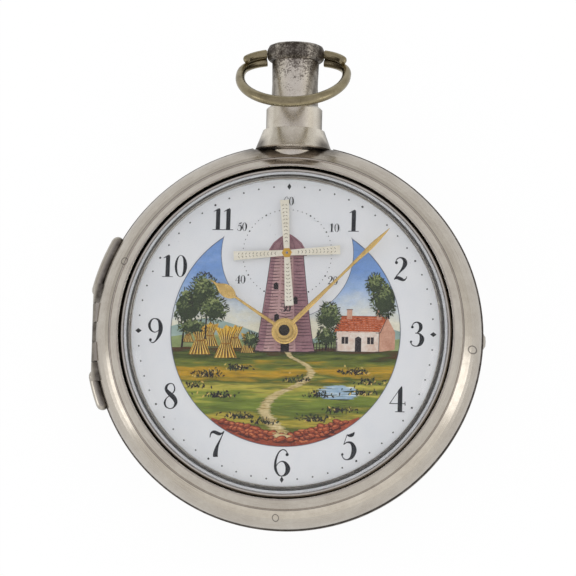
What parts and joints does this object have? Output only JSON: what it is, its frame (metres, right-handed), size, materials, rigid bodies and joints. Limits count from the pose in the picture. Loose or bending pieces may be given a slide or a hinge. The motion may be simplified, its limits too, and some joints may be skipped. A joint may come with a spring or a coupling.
{
  "type": "pair-cased verge watch",
  "caption": "Silver pair-cased verge pocket watch with a painted enamel dial, small seconds shown by windmill sails, a plain pendant and a ring bow.",
  "frame": {"origin": "middle of the flat on the back of the outer case", "axes": "+Z towards the dial, +Y towards the pendant at 12 o'clock, +X towards 3 o'clock"},
  "size_m": [0.0578, 0.0719, 0.0235],
  "materials": {
    "case_silver": "worn polished silver",
    "bow_metal": "dull grey-yellow gunmetal",
    "crystal_glass": "clear polished",
    "dial_enamel": "fired white enamel, painted",
    "gilt_brass": "matt fire gilding",
    "wheel_brass": "polished brass",
    "hand_gilt": "gilt, polished",
    "sail_silver": "silvered, grained",
    "steel": "polished",
    "blued_steel": "blued"
  },
  "bodies": {
    "case": {"outer_back": "case_silver", "outer_hinge_pin": "steel", "inner_back": "case_silver", "inner_hinge_pin": "steel", "pendant": "case_silver", "dial": "dial_enamel", "dial_plate": "gilt_brass", "movement_joint_pin": "steel", "pillar_plate": "gilt_brass", "top_plate": "gilt_brass", "pillars": "gilt_brass", "pillar_pins": "steel", "barrel_arbor": "steel", "chain_run": "steel", "potence": "gilt_brass", "counter_potence": "gilt_brass", "balance_spring": "blued_steel", "spring_stud": "steel", "balance_cock": "gilt_brass", "cock_screw": "blued_steel", "regulator_slide": "gilt_brass", "minute_post": "steel", "setup_ratchet": "steel"},
    "outer_bezel": {"outer_bezel": "case_silver"},
    "inner_bezel": {"inner_bezel": "case_silver", "crystal": "crystal_glass"},
    "push_button": {"push_button": "case_silver"},
    "catch_spring": {"catch_spring": "steel"},
    "bow": {"bow": "bow_metal", "bow_pin": "steel"},
    "latch_bolt": {"latch_bolt": "steel"},
    "centre": {"centre_wheel": "wheel_brass", "centre_arbor": "steel", "cannon_pinion": "steel", "minute_hand": "hand_gilt", "hand_pin": "steel"},
    "third": {"third_wheel": "wheel_brass", "third_arbor": "steel"},
    "contrate": {"contrate_wheel": "wheel_brass", "contrate_arbor": "steel", "sails": "sail_silver"},
    "crown": {"crown_wheel": "wheel_brass", "crown_arbor": "steel"},
    "fusee": {"fusee": "gilt_brass", "great_wheel": "wheel_brass", "fusee_arbor": "steel"},
    "barrel": {"barrel": "gilt_brass", "barrel_lid": "gilt_brass", "mainspring": "steel", "chain_coil": "steel"},
    "minute_wheel": {"minute_wheel": "wheel_brass"},
    "hour": {"hour_wheel": "wheel_brass", "hour_hand": "hand_gilt"},
    "balance": {"verge_staff": "steel", "balance_wheel": "wheel_brass"},
    "regulator_disc": {"regulator_disc": "sail_silver"},
    "regulator_rack": {"regulator_rack": "steel"}
  },
  "joints": [
    {"name": "outer_bezel_hinge", "type": "hinge", "parent": "case", "child": "outer_bezel", "pos_m": [-0.0277, 0.0002, 0.01265], "axis": [0, -1, 0], "range_deg": [0, 100]},
    {"name": "inner_bezel_hinge", "type": "hinge", "parent": "case", "child": "inner_bezel", "pos_m": [-0.0254, 0, 0.015], "axis": [0, -1, 0], "range_deg": [0, 95]},
    {"name": "push_button_slide", "type": "slide", "parent": "case", "child": "push_button", "axis": [-1, 0, 0], "range_m": [0, 0.0007], "stiffness_N_per_m": 600},
    {"name": "catch_spring_flex", "type": "hinge", "parent": "case", "child": "catch_spring", "pos_m": [0.02544, -0.009, 0.0105], "axis": [0, 0, 1], "range_deg": [0, 4.6]},
    {"name": "bow_pivot", "type": "hinge", "parent": "case", "child": "bow", "pos_m": [0, 0.04215, 0.0122], "axis": [1, 0, 0], "range_deg": [-277, 22]},
    {"name": "latch_bolt_slide", "type": "slide", "parent": "case", "child": "latch_bolt", "axis": [0, 1, 0], "range_m": [0, 0.0006], "stiffness_N_per_m": 200},
    {"name": "centre_spin", "type": "hinge", "parent": "case", "child": "centre", "pos_m": [0, 0, 0.012], "axis": [0, 0, -1], "continuous": true},
    {"name": "third_spin", "type": "hinge", "parent": "case", "child": "third", "pos_m": [-0.0055, 0.0058, 0.01], "axis": [0, 0, -1], "continuous": true},
    {"name": "contrate_spin", "type": "hinge", "parent": "case", "child": "contrate", "pos_m": [0, 0.0115, 0.01], "axis": [0, 0, -1], "continuous": true},
    {"name": "crown_spin", "type": "hinge", "parent": "case", "child": "crown", "pos_m": [0.00424, 0.00726, 0.0105], "axis": [0.7071, -0.7071, 0], "continuous": true},
    {"name": "fusee_spin", "type": "hinge", "parent": "case", "child": "fusee", "pos_m": [0.0056, -0.0097, 0.01], "axis": [0, 0, -1], "continuous": true},
    {"name": "barrel_spin", "type": "hinge", "parent": "case", "child": "barrel", "pos_m": [-0.0098, -0.0086, 0.009], "axis": [0, 0, -1], "continuous": true},
    {"name": "minute_wheel_spin", "type": "hinge", "parent": "case", "child": "minute_wheel", "pos_m": [0, -0.0048, 0.015], "axis": [0, 0, -1], "continuous": true},
    {"name": "hour_spin", "type": "hinge", "parent": "case", "child": "hour", "pos_m": [0, 0, 0.015], "axis": [0, 0, -1], "continuous": true},
    {"name": "balance_swing", "type": "hinge", "parent": "case", "child": "balance", "pos_m": [0.00721, 0.00429, 0.008], "axis": [0, 0, 1], "range_deg": [-55, 55], "stiffness_Nm_per_rad": 0.000002},
    {"name": "regulator_turn", "type": "hinge", "parent": "case", "child": "regulator_disc", "pos_m": [-0.0041, 0.0002, 0.005], "axis": [0, 0, 1], "range_deg": [-90, 90]},
    {"name": "regulator_rack_turn", "type": "hinge", "parent": "case", "child": "regulator_rack", "pos_m": [0.00721, 0.00429, 0.005], "axis": [0, 0, 1], "range_deg": [-15, 15]}
  ],
  "couplings": [
    {"joint": "inner_bezel_hinge", "follows": "outer_bezel_hinge", "ratio": 0.85},
    {"joint": "catch_spring_flex", "follows": "push_button_slide", "rad_per_m": 111},
    {"joint": "third_spin", "follows": "centre_spin", "ratio": -8},
    {"joint": "contrate_spin", "follows": "centre_spin", "ratio": 60},
    {"joint": "crown_spin", "follows": "centre_spin", "ratio": 480},
    {"joint": "fusee_spin", "follows": "centre_spin", "ratio": -0.22222},
    {"joint": "barrel_spin", "follows": "centre_spin", "ratio": -0.135},
    {"joint": "minute_wheel_spin", "follows": "centre_spin", "ratio": -0.33333},
    {"joint": "hour_spin", "follows": "centre_spin", "ratio": 0.083333},
    {"joint": "regulator_rack_turn", "follows": "regulator_turn", "ratio": -0.13333}
  ]
}
